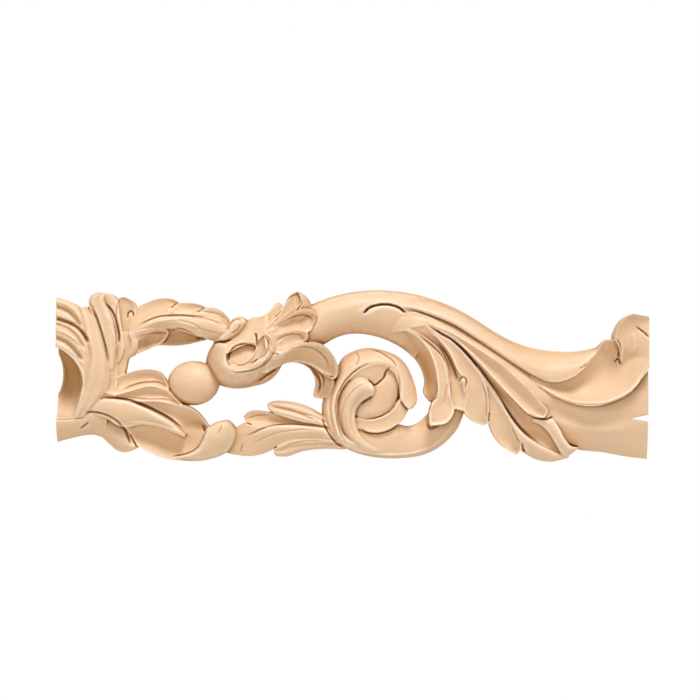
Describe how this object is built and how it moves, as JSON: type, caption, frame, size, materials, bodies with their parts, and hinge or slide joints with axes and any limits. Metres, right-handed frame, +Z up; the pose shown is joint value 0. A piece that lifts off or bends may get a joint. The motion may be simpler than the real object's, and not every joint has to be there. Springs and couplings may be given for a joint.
{
  "type": "acanthus leaf moulding",
  "caption": "Pierced wood moulding length with acanthus leaves, bead, husk, scroll and smooth stem; flat back for fixing to a surface.",
  "frame": {"origin": "middle of the flat back, halfway along the length and the height", "axes": "+X along the moulding to the right as seen from the front, +Y out of the back towards the surface it is fixed to, +Z up"},
  "size_m": [0.1748, 0.0159, 0.0508],
  "materials": {
    "maple": "bare, finely sanded"
  },
  "bodies": {
    "root": {"carved_moulding": "maple"}
  },
  "joints": []
}
